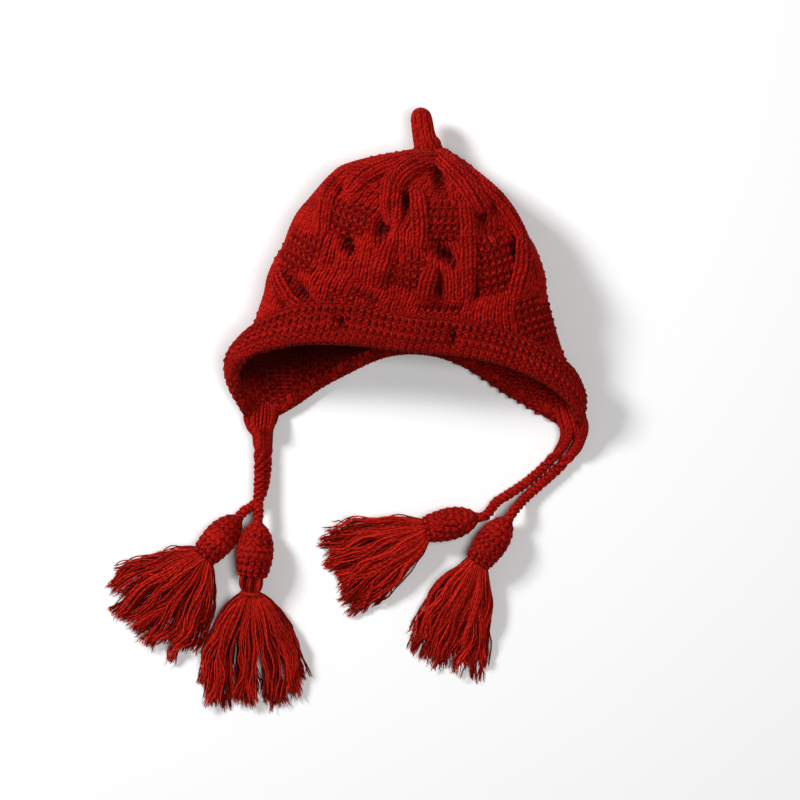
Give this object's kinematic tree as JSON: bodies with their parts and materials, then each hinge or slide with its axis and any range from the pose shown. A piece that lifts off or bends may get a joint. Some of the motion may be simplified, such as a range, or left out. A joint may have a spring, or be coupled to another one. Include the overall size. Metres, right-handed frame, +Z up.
{
  "type": "knitted earflap hat",
  "caption": "Soft chunky-knit hat with a turned-up brim, earflaps, a stem on top, and twisted cords that end in capped tassels, lying on its back.",
  "frame": {"origin": "middle of the underside of the box round the crown, brim and stem", "axes": "+X across the hat to the right as the camera sees it, +Y along the hat towards the stem, +Z up from the floor"},
  "size_m": [0.3894, 0.4854, 0.0773],
  "materials": {
    "red_knit": "matte chunky knit",
    "red_yarn": "matte loose yarn"
  },
  "bodies": {
    "root": {"crown": "red_knit", "turned_brim": "red_knit", "stem": "red_knit", "cord_left_near": "red_yarn", "cord_left_far": "red_yarn", "cord_right_near": "red_yarn", "cord_right_far": "red_yarn", "cap_left_near": "red_knit", "cap_left_far": "red_knit", "cap_right_near": "red_knit", "cap_right_far": "red_knit", "tassel_left_near": "red_yarn", "tassel_left_far": "red_yarn", "tassel_right_near": "red_yarn", "tassel_right_far": "red_yarn"}
  },
  "joints": []
}
